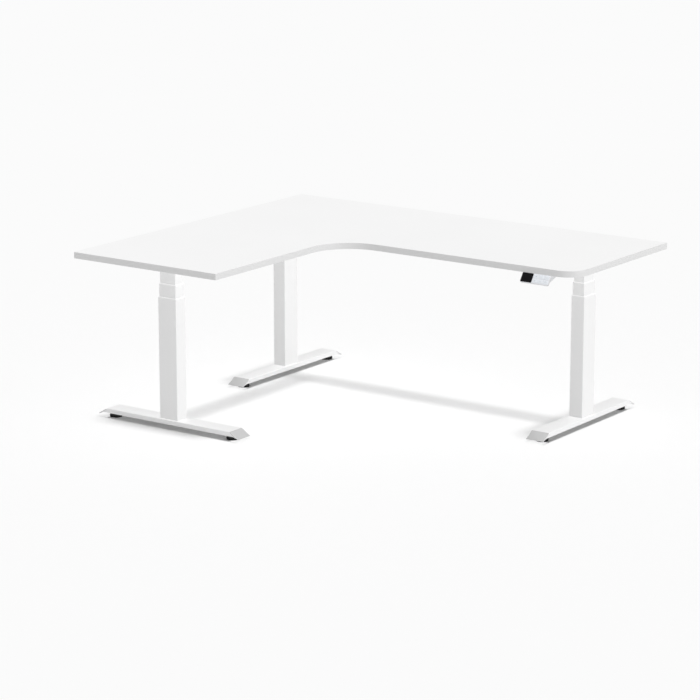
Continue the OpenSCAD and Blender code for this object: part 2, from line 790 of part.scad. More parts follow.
LEAD_ROUTES = [
    [[box_left, corner_lead_y], [main_beam_start - arm_t, corner_lead_y]],
    [[box_right, main_lead_y], [main_beam_end + arm_t, main_lead_y]],
    [[box_left, return_lead_y], [return_lead_x, return_lead_y], [return_lead_x, return_beam_end - arm_t]],
    [
        [box_right, handset_lead_y], [handset_lead_x, handset_lead_y], [handset_lead_x, handset_turn_y],
        [handset_x, handset_turn_y], [handset_x, handset_rear_y]
    ]
];

module control_leads() {
    color(dark_plastic) in_desk() for (r = LEAD_ROUTES) lead(route(r));
}

// Clips along the leads: x, y, and 1 where the lead runs along Y
clip_pitch = 220;
clip_len = 10;
clip_w = 14;
CLIPS = concat(
    [for (x = [main_beam_start + 120:clip_pitch:box_left - 60]) [x, corner_lead_y, 0]],
    [for (x = [return_lead_x + 120:clip_pitch:box_left - 60]) [x, return_lead_y, 0]],
    [for (y = [return_lead_y - 230:-clip_pitch:return_beam_end + 60]) [return_lead_x, y, 1]],
    [[(box_right + main_beam_end) / 2 + 40, main_lead_y, 0]],
    [for (y = [handset_lead_y - 230:-clip_pitch:handset_turn_y + 60]) [handset_lead_x, y, 1]],
    [[(handset_lead_x + handset_x) / 2, handset_turn_y, 0]]
);

module cable_clips() {
    drop = board_z - lead_z + lead_d / 2 + 1.5;
    color(pale_plastic) in_desk() for (c = CLIPS) translate([c[0], c[1], board_z]) rotate(c[2] * 90) difference() {
        translate([-clip_len / 2, -clip_w / 2, -drop]) cube([clip_len, clip_w, drop]);
        translate([-clip_len, 0, lead_z - board_z]) rotate([0, 90, 0]) cylinder(h = 2 * clip_len, r = lead_d / 2 + 0.1);
    }
}

// ---------------------------------------------------------------- handset

// A point behind the handset's face, in desk y and z: how far down the face and how deep behind it
function face_point(down, deep) = [
    handset_top_y - down * cos(handset_tilt) + deep * sin(handset_tilt),
    board_z - down * sin(handset_tilt) - deep * cos(handset_tilt)
];

key_x = function(key) keypad_x0 + key_w / 2 + key[1] * (key_w + key_web);
key_y = function(key) -keypad_h / 2 + key_h / 2 + key[2] * (key_h + key_web);
key_back = key_t - key_proud;

module handset_housing() {
    web_top = face_point(5, face_deep - 1);
    web_low = face_point(handset_face - 3, face_deep - 1);
    color(pale_plastic) difference() {
        union() {
            at_handset_face() translate([0, 0, -face_deep]) rounded_slab(handset_w, handset_face, face_deep, face_corner_r);
            in_desk() translate([handset_x, 0, 0]) along_x(handset_w - 2 * face_corner_r, [
                [web_top[0], board_z], [handset_rear_y, board_z], [handset_rear_y, lead_z - lead_d],
                web_low, web_top
            ]);
        }
        at_handset_face() {
            translate([display_x, 0, -window_deep])
                rounded_slab(display_w + 0.2, handset_face - 2 * window_margin + 0.2, window_deep + 1, window_corner_r + 0.1);
            for (key = KEYS) translate([key_x(key), key_y(key), -key_back - key_travel - 0.2])
                rounded_slab(key_w, key_h, key_t + key_travel + 1, key_corner_r + key_gap);
        }
        in_desk() for (x = [-1, 1]) translate([handset_x + x * handset_screw_x, handset_screw_y, 0]) {
            translate([0, 0, board_z - 40]) cylinder(h = 40 - ear_t, r = screw_head_r + 1);
            translate([0, 0, board_z - ear_t - 1]) cylinder(h = ear_t + 2, r = screw_d / 2 + hole_gap);
        }
    }
}

module handset_display() {
    color("#0c0d0f") at_handset_face() translate([display_x, 0, -window_deep])
        rounded_slab(display_w, handset_face - 2 * window_margin, window_deep + 0.3, window_corner_r);
}

module key_cap(key) {
    color(pale_plastic) at_handset_face() translate([key_x(key), key_y(key), -key_back])
        rounded_slab(key_w - 2 * key_gap, key_h - 2 * key_gap, key_t, key_corner_r);
}

// ---------------------------------------------------------------- the desk

for (leg = LEGS) {
    foot(leg);
    glide(leg, -1);
    glide(leg, 1);
    outer_tube(leg);
    middle_tube(leg);
    middle_collar(leg);
    nut_tube(leg);
    hollow_screw(leg);
    drive_screw(leg);
    inner_tube(leg);
    motor_housing(leg);
    support_arm(leg);
}
outer_collars();
lower_nuts();
foot_bolts();
motors();
main_beam_tube();
main_beam_slider();
return_beam_tube();
return_beam_slider();
frame_bolts();
board_screws();
desktop_board();
edge_band();
control_box();
mains_inlet();
control_leads();
cable_clips();
handset_housing();
handset_display();
for (key = KEYS) {
    key_cap(key);
}
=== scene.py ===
"""L-shaped standing desk on three lifting columns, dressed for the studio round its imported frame."""

import json
import math

import bmesh
import bpy
from mathutils import Matrix, Vector


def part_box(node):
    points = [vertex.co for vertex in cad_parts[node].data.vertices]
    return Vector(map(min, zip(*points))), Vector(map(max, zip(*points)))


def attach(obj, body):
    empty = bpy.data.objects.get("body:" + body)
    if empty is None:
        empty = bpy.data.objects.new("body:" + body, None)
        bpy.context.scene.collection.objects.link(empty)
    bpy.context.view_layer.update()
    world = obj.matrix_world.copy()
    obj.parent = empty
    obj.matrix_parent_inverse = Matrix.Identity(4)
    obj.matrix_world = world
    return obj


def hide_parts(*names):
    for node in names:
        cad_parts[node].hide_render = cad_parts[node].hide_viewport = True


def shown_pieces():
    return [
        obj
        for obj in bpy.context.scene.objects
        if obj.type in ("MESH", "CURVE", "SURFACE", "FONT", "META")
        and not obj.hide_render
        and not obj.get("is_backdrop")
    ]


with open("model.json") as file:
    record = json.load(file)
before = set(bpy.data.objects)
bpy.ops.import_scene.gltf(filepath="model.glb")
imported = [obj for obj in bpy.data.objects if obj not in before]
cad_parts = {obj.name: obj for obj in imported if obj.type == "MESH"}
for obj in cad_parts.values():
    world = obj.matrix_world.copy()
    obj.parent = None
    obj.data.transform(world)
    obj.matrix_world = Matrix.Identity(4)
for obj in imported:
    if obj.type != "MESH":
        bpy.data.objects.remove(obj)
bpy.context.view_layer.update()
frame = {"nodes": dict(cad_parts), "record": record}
bpy.ops.object.select_all(action="DESELECT")

MM = 0.001
LEGS = ("return", "corner", "main")
KEYS = ("up_key", "down_key", "preset_one_key", "preset_two_key", "preset_three_key", "memory_key")
BODIES = frame["record"]["behaviour"]["bodies"]
BODY_OF = {node: body for body, nodes in BODIES.items() for node in nodes}
SLOT_OF = {row["node"]: row["material_slot"] for row in frame["record"]["subparts"]}


# ------------------------------------------------------------------ camera and light

def studio_camera():
    """Camera with a long lens, above the user's side of the inner corner."""
    lens = bpy.data.cameras.new("studio_camera")
    lens.sensor_width = 36
    lens.lens = 146.57
    lens.clip_end = 200
    camera = bpy.data.objects.new("studio_camera", lens)
    bpy.context.scene.collection.objects.link(camera)
    camera.location = (6.3235, -9.0517, 2.9899)
    camera.rotation_euler = (math.radians(76.257), 0, math.radians(35.383))
    bpy.context.scene.camera = camera


def linked(name, pieces, state):
    """A collection that tells a lamp which pieces it takes in or leaves out."""
    group = bpy.data.collections.new(name)
    for piece in pieces:
        group.objects.link(piece)
    for row in group.collection_objects:
        row.light_linking.link_state = state
    return group


def studio_sun(name, direction, strength, spread, casters=(), only=(), but=()):
    """A broad, far lamp that shines along a direction, on a few pieces only or on all but a few.

    It throws the shadows of the casters and of nothing else.
    """
    lamp = bpy.data.lights.new(name, "SUN")
    lamp.energy = strength * math.pi
    lamp.angle = math.radians(spread)
    lamp.use_shadow = bool(casters)
    sun = bpy.data.objects.new(name, lamp)
    bpy.context.scene.collection.objects.link(sun)
    sun.rotation_mode = "QUATERNION"
    sun.rotation_quaternion = Vector(direction).to_track_quat("-Z", "Y")
    if casters:
        sun.light_linking.blocker_collection = linked(name + "_casters", casters, "INCLUDE")
    if only:
        sun.light_linking.receiver_collection = linked(name + "_lit", only, "INCLUDE")
    if but:
        sun.light_linking.receiver_collection = linked(name + "_unlit", but, "EXCLUDE")


def studio_world(strength):
    """Even white surroundings."""
    world = bpy.data.worlds.new("studio_world")
    world.use_nodes = True
    sky = world.node_tree.nodes["Background"]
    sky.inputs["Color"].default_value = (1, 1, 1, 1)
    sky.inputs["Strength"].default_value = strength
    bpy.context.scene.world = world


# ------------------------------------------------------------------ materials

class Term:
    """A shader value whose arithmetic adds Math nodes."""

    def __init__(self, finish, socket):
        self.finish = finish
        self.socket = socket

    def _with(self, operation, other):
        return self.finish.add("ShaderNodeMath", {"operation": operation}, {0: self, 1: other})

    def __add__(self, other):
        return self._with("ADD", other)

    def __mul__(self, other):
        return self._with("MULTIPLY", other)


class Finish:
    """A material in the making, on the object's own coordinates."""

    def __init__(self, name):
        self.material = bpy.data.materials.new(name)
        self.material.use_nodes = True
        self.tree = self.material.node_tree
        self.shader = self.tree.nodes["Principled BSDF"]
        self.place = self.add("ShaderNodeTexCoord", out="Object")

    def add(self, kind, settings=None, inputs=None, out=0):
        """Adds a node: its settings first, then the values or links of its sockets."""
        node = self.tree.nodes.new(kind)
        for key, value in (settings or {}).items():
            if key == "stops":
                ramp = node.color_ramp
                for element, (at, colour) in zip(ramp.elements, value):
                    element.position = at
                    element.color = colour
            else:
                setattr(node, key, value)
        for key, value in (inputs or {}).items():
            self.feed(node.inputs[key], value)
        return Term(self, node.outputs[out])

    def feed(self, socket, value):
        if isinstance(value, Term):
            self.tree.links.new(value.socket, socket)
        else:
            socket.default_value = value

    def set(self, **values):
        """Sets the shader's sockets; base_color stands for Base Color."""
        for key, value in values.items():
            self.feed(self.shader.inputs[key.replace("_", " ").title().replace("Ior", "IOR")], value)

    def stretched(self, x, y, z):
        """The object's coordinates with each axis scaled."""
        return self.add("ShaderNodeMapping", None, {"Vector": self.place, "Scale": (x, y, z)})

    def noise(self, scale, detail=2, at=None, roughness=0.5):
        return self.add("ShaderNodeTexNoise", None, {
            "Vector": at or self.place, "Scale": scale, "Detail": detail, "Roughness": roughness,
        })

    def cells(self, scale, at=None):
        return self.add("ShaderNodeTexVoronoi", None, {"Vector": at or self.place, "Scale": scale})

    def blend(self, factor, low, high):
        """A colour between two, by a factor from 0 to 1."""
        return self.add("ShaderNodeMix", {"data_type": "RGBA"}, {0: factor, 6: low, 7: high}, out=2)

    def relief(self, height, distance, strength=1.0):
        """Feeds a height, 0 to 1, to the surface's normal as a relief of that depth in metres."""
        self.set(normal=self.add("ShaderNodeBump", None, {
            "Height": height, "Distance": distance, "Strength": strength,
        }))


def shade(value, tint=(1, 1, 1)):
    """A linear colour of that brightness."""
    return (value * tint[0], value * tint[1], value * tint[2], 1)


def white_board():
    """Matt laminate: a faint pearl grain and slow drifts of gloss."""
    f = Finish("white_board")
    drift = f.noise(2.2, 3)
    grain = f.noise(900, 3)
    f.set(base_color=f.blend(drift * 0.5 + grain * 0.5, shade(0.885), shade(0.915)),
          roughness=drift * 0.10 + grain * 0.08 + 0.44, specular_ior_level=0.35)
    f.relief(grain, 0.00006, 0.25)
    return f.material


def board_underside_painted_shade():
    """Painted shade on the board's underside: a light grey that stands for the shade beneath the board,
    with a fine fibre.
    """
    f = Finish("board_underside_painted_shade")
    fibre = f.noise(300, 4, f.stretched(0.12, 1, 1))
    cloud = f.noise(3, 3)
    # This grey is painted shade for the underside, not the board's own colour.
    f.set(base_color=f.blend(fibre * 0.4 + cloud * 0.6, shade(0.53), shade(0.59)),
          roughness=fibre * 0.1 + 0.6, specular_ior_level=0.25)
    f.relief(fibre, 0.00005, 0.3)
    return f.material


def white_edge_band():
    """Edge band: fine lines along the edge, darker than the board as painted shade on the board's
    edges.
    """
    f = Finish("white_edge_band")
    lines = f.noise(60, 3, f.stretched(1, 1, 60))
    grain = f.noise(1400, 2)
    # The band's darker white is painted shade for the edges of the board.
    f.set(base_color=f.blend(lines, shade(0.70), shade(0.73)), roughness=grain * 0.14 + 0.42,
          specular_ior_level=0.35)
    f.relief(lines * 0.6 + grain * 0.4, 0.00005, 0.3)
    return f.material


def white_frame_paint():
    """Powder coat: an orange-peel skin with a fine satin texture."""
    f = Finish("white_frame_paint")
    peel = f.noise(420, 2)
    grain = f.noise(2200, 2)
    drift = f.noise(5, 2)
    f.set(base_color=f.blend(drift * 0.6 + grain * 0.4, shade(0.825), shade(0.855)),
          roughness=peel * 0.10 + grain * 0.06 + 0.24, specular_ior_level=0.4)
    f.relief(peel * 0.75 + grain * 0.25, 0.00012, 0.35)
    return f.material


def moulded(name, colour, rough, texture_scale, depth, tint=(1, 1, 1), spread=0.03, gloss=0.4):
    """Moulded plastic with an even spark texture."""
    f = Finish(name)
    spark = f.noise(texture_scale, 3, roughness=0.65)
    drift = f.noise(14, 2)
    f.set(base_color=f.blend(drift * 0.5 + spark * 0.5, shade(colour * (1 - spread), tint),
                             shade(colour * (1 + spread), tint)),
          roughness=spark * 0.16 + (rough - 0.08), specular_ior_level=gloss)
    f.relief(spark, depth, 0.4)
    return f.material


def steel(name, colour, rough, lines):
    """Bright steel with fine drawing lines along one axis and smears of grease."""
    f = Finish(name)
    drawn = f.noise(220, 4, f.stretched(*lines))
    smear = f.noise(35, 3)
    dull, bright = shade(colour * 0.86), shade(colour * 1.08, (1, 1, 1.01))
    f.set(base_color=f.blend(drawn * 0.7 + smear * 0.3, dull, bright),
          roughness=drawn * 0.18 + smear * 0.16 + (rough - 0.17), metallic=1.0)
    f.relief(drawn, 0.00004, 0.4)
    return f.material


def zinc_steel():
    """Zinc plating with its faint spangle."""
    f = Finish("zinc_steel")
    spangle = f.cells(520)
    smear = f.noise(90, 2)
    f.set(base_color=f.blend(spangle * 0.8, shade(0.74, (1, 1, 0.97)), shade(0.60, (0.98, 1, 1.03))),
          roughness=smear * 0.2 + 0.22, metallic=1.0)
    f.relief(spangle, 0.00003, 0.4)
    return f.material


def motor_metal():
    """Die-cast metal, as cast."""
    f = Finish("motor_metal")
    skin = f.noise(380, 4, roughness=0.7)
    patch = f.noise(26, 3)
    f.set(base_color=f.blend(patch, shade(0.30), shade(0.42)),
          roughness=skin * 0.2 + 0.42, metallic=0.85)
    f.relief(skin, 0.0002, 0.5)
    return f.material


def display_window():
    """Black smoked window."""
    f = Finish("display_window")
    haze = f.noise(120, 3)
    f.set(base_color=f.blend(haze, shade(0.006), shade(0.010, (0.95, 1, 1.1))),
          roughness=haze * 0.05 + 0.12, specular_ior_level=0.12)
    f.relief(haze, 0.00001, 0.15)
    return f.material


COOL_WHITE = (0.98, 0.99, 1.03)
KEY_WHITE = (0.96, 1, 1.05)
MATERIALS = {
    "white_board": white_board(),
    "board_underside_painted_shade": board_underside_painted_shade(),
    "white_edge_band": white_edge_band(),
    "white_frame_paint": white_frame_paint(),
    "collar_plastic": moulded("collar_plastic", 0.87, 0.50, 1500, 0.00008),
    "glide_plastic": moulded("glide_plastic", 0.010, 0.55, 1300, 0.00012, spread=0.2, gloss=0.15),
    "screw_steel": steel("screw_steel", 0.55, 0.38, (1, 1, 0.03)),
    "zinc_steel": zinc_steel(),
    "motor_metal": motor_metal(),
    "control_box_plastic": moulded("control_box_plastic", 0.028, 0.55, 1100, 0.00015, (1, 1, 1.05),
                                   spread=0.15, gloss=0.3),
    "lead_sheath": moulded("lead_sheath", 0.018, 0.6, 1600, 0.00008, spread=0.2, gloss=0.25),
    "handset_plastic": moulded("handset_plastic", 0.84, 0.40, 1700, 0.00005, COOL_WHITE),
    "key_plastic": moulded("key_plastic", 0.84, 0.42, 1700, 0.00005, KEY_WHITE),
    # A grey that paints shade on the handset's sides, back and lower edge.
    "handset_painted_shade_grey": moulded("handset_painted_shade_grey", 0.60, 0.45, 1500, 0.00006, (0.99, 1, 1.02)),
    "display_window": display_window(),
    # The caps' grey is painted shade on the feet's sloped ends.
    "foot_cap_plastic_painted_shade": moulded("foot_cap_plastic_painted_shade", 0.50, 0.55, 1500, 0.00008),
    "key_print": moulded("key_print", 0.60, 0.5, 1500, 0.00003, (0.95, 0.98, 1.05)),
}


# ------------------------------------------------------------------ modelling

def begin(add, size=(1, 1, 1), **where):
    """Adds a primitive at its size and place, with nothing else selected, and opens it for editing."""
    bpy.ops.object.select_all(action="DESELECT")
    add(**where)
    bpy.context.object.scale = size
    bpy.ops.object.transform_apply(location=True, rotation=True, scale=True)
    bpy.ops.object.mode_set(mode="EDIT")
    return bpy.context.object


def middle(item):
    """The middle of a vertex, an edge or a face."""
    if isinstance(item, bmesh.types.BMVert):
        return item.co
    return sum((v.co for v in item.verts), Vector()) / len(item.verts)


def pick(kind, test):
    """Selects the vertices, edges or faces that pass a test."""
    bpy.ops.mesh.select_mode(type=kind)
    bpy.ops.mesh.select_all(action="DESELECT")
    mesh = bpy.context.object.data
    shape = bmesh.from_edit_mesh(mesh)
    for item in {"VERT": shape.verts, "EDGE": shape.edges, "FACE": shape.faces}[kind]:
        if test(item):
            item.select_set(True)
    shape.select_flush_mode()
    bmesh.update_edit_mesh(mesh)


def extrude(x=0, y=0, z=0):
    """Extrudes what is selected and moves the new end."""
    bpy.ops.mesh.extrude_region_move(TRANSFORM_OT_translate={"value": (x, y, z)})


def thicken(height):
    """Raises the whole flat piece into a solid of that height."""
    bpy.ops.mesh.select_all(action="SELECT")
    extrude(z=height)


def round_corners(radius, segments, test=lambda vertex: True):
    """Rounds the corners of a flat piece."""
    pick("VERT", test)
    bpy.ops.mesh.bevel(offset=radius, segments=segments, affect="VERTICES")


def sharp(angle):
    """A test for edges between faces that meet at more than an angle, in degrees."""
    limit = math.radians(angle)
    return lambda edge: len(edge.link_faces) == 2 and edge.calc_face_angle() > limit


def soften(width, segments=2, test=sharp(40)):
    """Bevels the edges that pass a test."""
    pick("EDGE", test)
    bpy.ops.mesh.bevel(offset=width, segments=segments, affect="EDGES")


def close_edit():
    """Turns all faces outwards and leaves edit mode."""
    bpy.ops.mesh.select_all(action="SELECT")
    bpy.ops.mesh.normals_make_consistent(inside=False)
    bpy.ops.object.mode_set(mode="OBJECT")
    return bpy.context.object


def modify(kind, **settings):
    """Adds a modifier to the active piece and applies it."""
    bpy.ops.object.modifier_add(type=kind)
    modifier = bpy.context.object.modifiers[-1]
    for key, value in settings.items():
        setattr(modifier, key, value)
    bpy.ops.object.modifier_apply(modifier=modifier.name)


def walls(thickness):
    """Gives an open shell its wall, inwards."""
    modify("SOLIDIFY", thickness=thickness, offset=-1, use_even_offset=True)


def select_only(pieces):
    bpy.ops.object.select_all(action="DESELECT")
    for piece in pieces:
        piece.select_set(True)
    bpy.context.view_layer.objects.active = pieces[0]


def join(pieces):
    """Makes one piece of several."""
    select_only(pieces)
    if len(pieces) > 1:
        bpy.ops.object.join()
    return bpy.context.object


def cut(piece, cutters):
    """Takes the cutters out of a piece."""
    for cutter in cutters:
        select_only([piece])
        modify("BOOLEAN", operation="DIFFERENCE", solver="EXACT", object=cutter)
        bpy.data.objects.remove(cutter)


def keep(piece, name, slot, body, *stands_for, smooth=35, painted=False):
    """Ends a piece: its name, smooth shading, material, and the body that it rides on."""
    select_only([piece])
    piece.name = name
    piece.data.name = name
    if not painted:
        piece.data.materials.clear()
        piece.data.materials.append(MATERIALS[slot])
    bpy.ops.object.shade_smooth_by_angle(angle=math.radians(smooth))
    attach(piece, body)
    if stands_for:
        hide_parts(*stands_for)
    return piece


def block(low, high):
    """A box between two corners, opened for editing."""
    low, high = Vector(low), Vector(high)
    return begin(bpy.ops.mesh.primitive_cube_add, (high - low) / 2, location=(low + high) / 2)


def flat(low, high, z):
    """A flat rectangle between two corners at a height, opened for editing."""
    return begin(bpy.ops.mesh.primitive_plane_add, ((high[0] - low[0]) / 2, (high[1] - low[1]) / 2, 1),
                 location=((low[0] + high[0]) / 2, (low[1] + high[1]) / 2, z))


def turned(centre, stations, sides=40):
    """A turned piece: rings of (radius, height above the centre), from the bottom up."""
    (r0, z0), (r1, z1) = stations[:2]
    x, y, z = centre
    piece = begin(bpy.ops.mesh.primitive_cylinder_add, vertices=sides, radius=r0, depth=z1 - z0,
                  location=(x, y, z + (z0 + z1) / 2))
    top = z + z1 - 1e-6
    pick("FACE", lambda face: min(v.co.z for v in face.verts) > top)
    bpy.ops.transform.resize(value=(r1 / r0, r1 / r0, 1), center_override=(x, y, z + z1))
    radius, height = r1, z1
    for r, h in stations[2:]:
        extrude(z=h - height)
        bpy.ops.transform.resize(value=(r / radius, r / radius, 1), center_override=(x, y, z + h))
        radius, height = r, h
    return close_edit()


def softened(node, width, segments=2, smooth=35):
    """A copy of a CAD node with its facets merged and its edges eased."""
    source = frame["nodes"][node]
    piece = bpy.data.objects.new(node, source.data.copy())
    bpy.context.scene.collection.objects.link(piece)
    select_only([piece])
    bpy.ops.object.mode_set(mode="EDIT")
    bpy.ops.mesh.select_all(action="SELECT")
    bpy.ops.mesh.remove_doubles(threshold=1e-6)
    bpy.ops.mesh.dissolve_limited(angle_limit=math.radians(0.5))
    bpy.ops.object.mode_set(mode="OBJECT")
    if width:
        modify("BEVEL", width=width, segments=segments, limit_method="ANGLE",
               angle_limit=math.radians(40), use_clamp_overlap=True)
    return keep(piece, node + "_finished", SLOT_OF[node], BODY_OF[node], node, smooth=smooth)


# ------------------------------------------------------------------ floor

def studio_floor():
    """A broad pale floor."""
    begin(bpy.ops.mesh.primitive_plane_add, (80, 80, 1))
    floor = close_edit()
    floor.name = "studio_floor"
    f = Finish("studio_floor")
    mottle = f.noise(0.4, 2)
    f.set(base_color=f.blend(mottle, shade(0.925), shade(0.935)), roughness=0.9, specular_ior_level=0.0)
    floor.data.materials.append(f.material)
    floor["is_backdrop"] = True
    return floor


# ------------------------------------------------------------------ desktop

WING_DEPTH = 700 * MM
INNER_CORNER_R = 175 * MM
FREE_CORNER_R = 85 * MM
BAND = 2 * MM
BAND_ARRIS = 0.8 * MM


def desktop_outline(inset):
    """The L of the desktop as one flat face at the board's underside, moved in all round."""
    low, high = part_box("edge_band")
    edge = Vector((inset, inset, 0))
    flat(low + edge, high - edge, low.z)
    inner_x = low.x + WING_DEPTH - inset
    inner_y = high.y - WING_DEPTH + inset
    for point, normal in (((inner_x, 0, 0), (1, 0, 0)), ((0, inner_y, 0), (0, 1, 0))):
        bpy.ops.mesh.select_all(action="SELECT")
        bpy.ops.mesh.bisect(plane_co=point, plane_no=normal)
    pick("FACE", lambda face: middle(face).x > inner_x and middle(face).y < inner_y)
    bpy.ops.mesh.delete(type="FACE")
    bpy.ops.mesh.select_all(action="SELECT")
    bpy.ops.mesh.dissolve_limited()
    inner = Vector((inner_x, inner_y, low.z))
    free = Vector((high.x - inset, inner_y, low.z))
    round_corners(INNER_CORNER_R + inset, 48, lambda v: (v.co - inner).length < MM)
    round_corners(FREE_CORNER_R - inset, 32, lambda v: (v.co - free).length < MM)
    return high.z - low.z


def desktop():
    """The board with its underside in a grey of painted shade, and the band round its edge."""
    board_h = desktop_outline(BAND)
    thicken(board_h)
    top = close_edit()
    top.data.materials.append(MATERIALS["white_board"])
    top.data.materials.append(MATERIALS["board_underside_painted_shade"])
    # Faces that look down take the grey of painted shade.
    for face in top.data.polygons:
        face.material_index = 1 if face.normal.z < -0.5 else 0
    keep(top, "desktop_top", "white_board", "top", "desktop_board", smooth=20, painted=True)

    desktop_outline(0)
    thicken(board_h)
    soften(BAND_ARRIS, 3, lambda e: sharp(60)(e) and abs(e.verts[0].co.z - e.verts[1].co.z) < MM)
    pick("FACE", lambda face: abs(face.normal.z) > 0.99)
    bpy.ops.mesh.inset(thickness=BAND - BAND_ARRIS, use_boundary=True)
    bpy.ops.mesh.bridge_edge_loops()
    keep(close_edit(), "desktop_edge_band", "white_edge_band", "top", "edge_band", smooth=35)


# ------------------------------------------------------------------ legs

TUBE_R = 3 * MM
TUBE_WALL = 1.8 * MM
TUBE_STEP = 3 * MM
SLIDE_GAP = 0.3 * MM
RIM_H = 6 * MM
RIM_OUTER_EASE = 2.2 * MM
RIM_INNER_EASE = 0.3 * MM
SLEEVE_H = 30 * MM
FOOT_WALL = 3 * MM
FOOT_SLOPE = 43 * MM
FOOT_RAMP = 25 * MM
FOOT_SIDE_RISE = 7 * MM
FOOT_EDGE_R = 3 * MM
CAP_T = 2.4 * MM
CAP_ARRIS = 0.5 * MM
BOSS_R = 12 * MM
BOSS_H = 21.8 * MM
PAD_BEVEL = 1.2 * MM
THREAD_ROOT_R = 3.4 * MM
THREAD_CREST_R = 3.95 * MM
THREAD_PITCH = 1.25 * MM


def foot(leg):
    """Steel foot, open underneath, with a moulded cap on each sloped end in a grey of painted shade."""
    node = leg + "_foot"
    low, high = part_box(node)
    along = 0 if high.x - low.x > high.y - low.y else 1
    centre = (low + high) / 2
    block(low, high)
    for side in (-1, 1):
        pick("VERT", lambda v: v.co.z > centre.z and (v.co[along] - centre[along]) * side > 0)
        shift = [0, 0, 0]
        shift[along] = -side * FOOT_SLOPE
        bpy.ops.transform.translate(value=shift)
    pick("FACE", lambda face: face.normal.z < -0.9)
    bpy.ops.mesh.delete(type="FACE")
    ramp_end = (high[along] - low[along]) / 2 - FOOT_RAMP
    normal = [0, 0, 0]
    normal[along] = 1
    for side in (-1, 1):
        bpy.ops.mesh.select_all(action="SELECT")
        bpy.ops.mesh.bisect(plane_co=centre + side * ramp_end * Vector(normal), plane_no=normal)
    pick("VERT", lambda v: v.co.z < low.z + MM and abs(v.co[along] - centre[along]) < ramp_end + MM)
    bpy.ops.transform.translate(value=(0, 0, FOOT_SIDE_RISE))
    soften(FOOT_EDGE_R, 5, lambda e: sharp(40)(e) and min(v.co.z for v in e.verts) > high.z - MM
           and abs(e.verts[0].co[along] - e.verts[1].co[along]) > FOOT_SLOPE)
    pick("FACE", lambda face: abs(face.normal[along]) > 0.3)
    bpy.ops.mesh.separate(type="SELECTED")
    shell = close_edit()
    caps = next(o for o in bpy.context.selected_objects if o is not shell)
    select_only([shell])
    walls(FOOT_WALL)
    bosses = []
    for end in ("front", "rear"):
        glide_low, glide_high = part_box(f"{leg}_{end}_glide")
        at = ((glide_low.x + glide_high.x) / 2, (glide_low.y + glide_high.y) / 2, low.z)
        bosses.append(turned(at, [(BOSS_R, 0), (BOSS_R, BOSS_H - 3.8 * MM), (BOSS_R + MM, BOSS_H)]))
    keep(join([shell] + bosses), leg + "_foot_shell", "white_frame_paint", "base", node)
    select_only([caps])
    walls(CAP_T)
    bpy.ops.object.mode_set(mode="EDIT")
    soften(CAP_ARRIS, 2, sharp(50))
    keep(close_edit(), leg + "_foot_caps", "foot_cap_plastic_painted_shade", "base")


def foot_glide(leg, end):
    """Levelling glide: a moulded pad with a hexagon and a threaded stud."""
    node = f"{leg}_{end}_glide"
    low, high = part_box(node)
    r = (high.x - low.x) / 2
    at = ((low.x + high.x) / 2, (low.y + high.y) / 2, low.z)
    pad = turned(at, [(r - PAD_BEVEL, 0), (r, PAD_BEVEL), (r, 8.7 * MM), (r - PAD_BEVEL, 9.8 * MM),
                      (13 * MM, 10 * MM), (11.6 * MM, 10.4 * MM)], 64)
    nut = turned(at, [(9 * MM, 9.6 * MM), (10.6 * MM, 10.2 * MM),
                      (10.6 * MM, 13 * MM), (9.4 * MM, 13.9 * MM)], 6)
    threads = [(THREAD_ROOT_R, 12 * MM)]
    while threads[-1][1] < high.z - low.z - 2 * THREAD_PITCH:
        z = threads[-1][1]
        threads += [(THREAD_CREST_R, z + THREAD_PITCH / 2), (THREAD_ROOT_R, z + THREAD_PITCH)]
    threads.append((3.0 * MM, high.z - low.z))
    stud = turned(at, threads, 24)
    keep(join([pad, nut, stud]), node + "_moulded", "glide_plastic", BODY_OF[node], node, smooth=30)


def column_tube(node, floor=False):
    """One stage of a column: a thin steel tube with rounded edges."""
    low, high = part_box(node)
    flat(low, high, low.z)
    round_corners(TUBE_R, 8)
    thicken(high.z - low.z)
    pick("FACE", lambda face: face.normal.z > 0.9 or (face.normal.z < -0.9 and not floor))
    bpy.ops.mesh.delete(type="FACE")
    piece = close_edit()
    walls(TUBE_WALL)
    keep(piece, node + "_section", "white_frame_paint", BODY_OF[node], node)


def ring(low, high, radius, wall, z, height):
    """A flat ring with rounded corners, raised to a height."""
    flat(low, high, z)
    round_corners(radius, 8)
    pick("FACE", lambda face: True)
    bpy.ops.mesh.inset(thickness=wall, use_boundary=True)
    bpy.ops.mesh.delete(type="FACE")
    thicken(height)


def collar(tube):
    """Guide collar on a tube's end: an eased rim and the sleeve inside the tube."""
    low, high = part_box(tube)
    ring(low, high, TUBE_R, TUBE_STEP - SLIDE_GAP, high.z, RIM_H)
    centre, half = (low + high) / 2, (high - low) / 2

    def on_top(edge, outside):
        off = middle(edge) - centre
        is_outside = max(abs(off.x) - half.x, abs(off.y) - half.y) > -TUBE_STEP / 2
        return (sharp(60)(edge) and min(v.co.z for v in edge.verts) > high.z + RIM_H - 1e-5
                and is_outside == outside)

    soften(RIM_INNER_EASE, 2, lambda e: on_top(e, False))
    soften(RIM_OUTER_EASE, 4, lambda e: on_top(e, True))
    rim = close_edit()
    inset = Vector((TUBE_WALL, TUBE_WALL, 0))
    ring(low + inset, high - inset, TUBE_R - TUBE_WALL, TUBE_STEP - TUBE_WALL - SLIDE_GAP,
         high.z - SLEEVE_H, SLEEVE_H)
    return join([rim, close_edit()])


